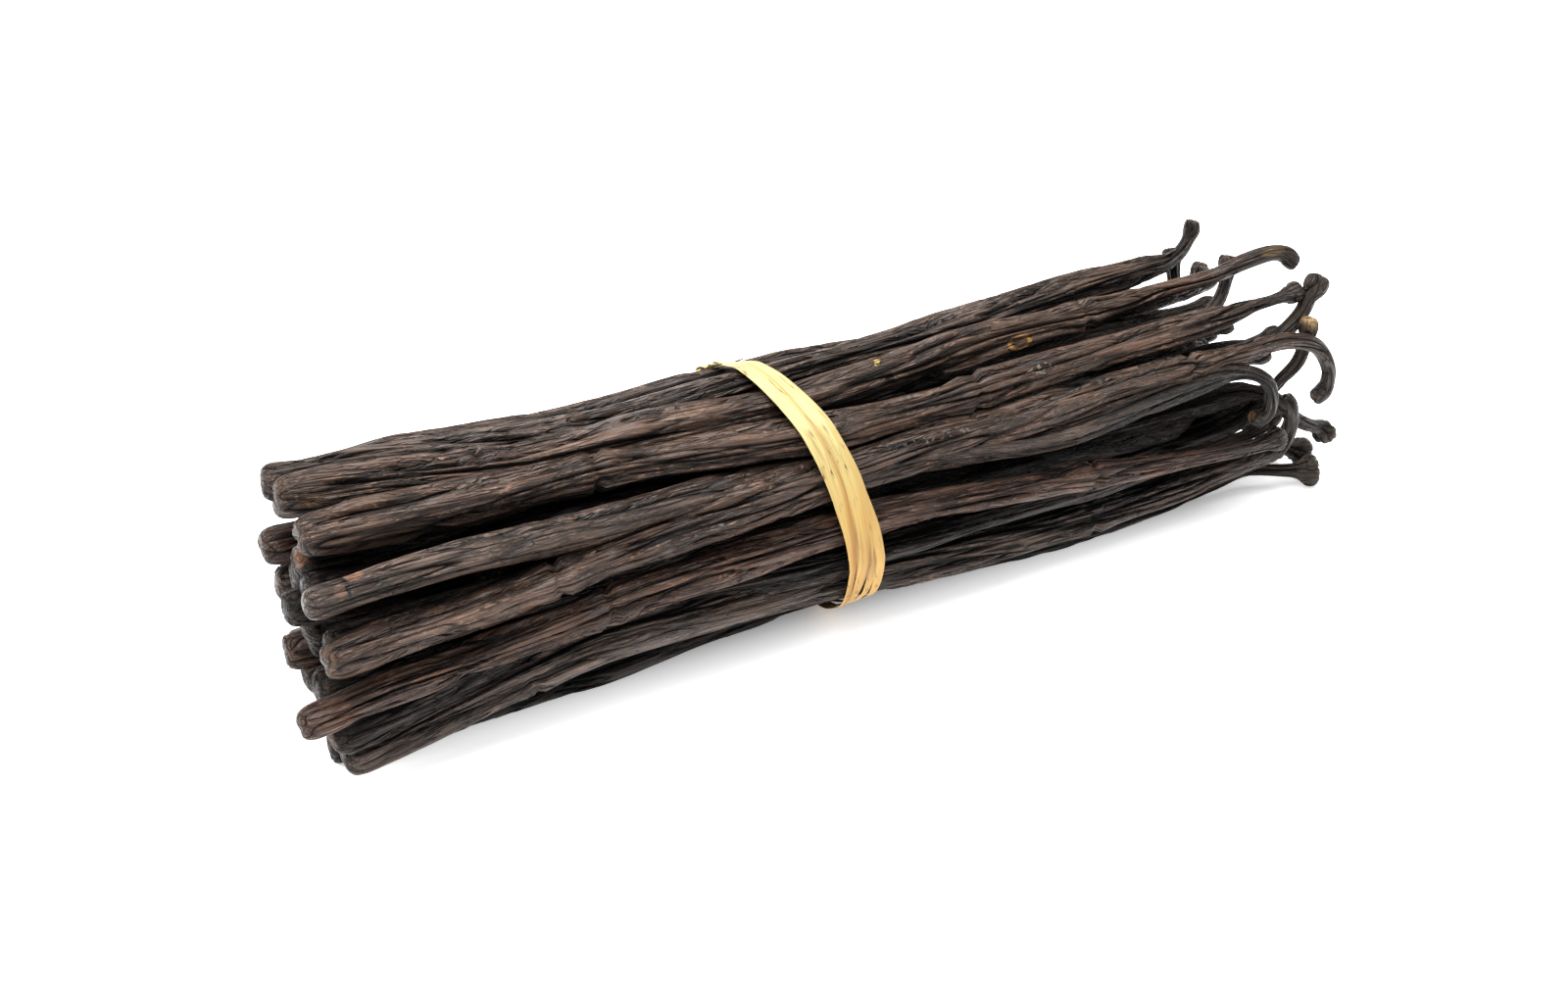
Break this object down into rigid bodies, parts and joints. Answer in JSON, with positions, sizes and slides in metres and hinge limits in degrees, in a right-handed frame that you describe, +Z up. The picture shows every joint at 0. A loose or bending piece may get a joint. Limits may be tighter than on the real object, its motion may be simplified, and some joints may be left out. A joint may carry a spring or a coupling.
{
  "type": "bundle of vanilla pods",
  "caption": "Bundle of dark, wrinkled cured vanilla pods lying side by side, their thin curled stalks at one end, held round the middle by a strap of pale raffia.",
  "frame": {"origin": "on the surface that the bundle lies on, under the middle of its bounding box", "axes": "+X along the bundle from the pods' blunt tips to their stalks, +Z up, +Y away from the side shown"},
  "size_m": [0.1882, 0.047, 0.0452],
  "materials": {
    "vanilla_pod_skin": "dark grey-brown, wrinkled lengthwise, with a dull oily sheen",
    "raffia": "pale straw-yellow dried palm fibre, smooth with fine lengthwise lines"
  },
  "bodies": {
    "root": {"vanilla_pods": "vanilla_pod_skin", "raffia_tie": "raffia"}
  },
  "joints": []
}
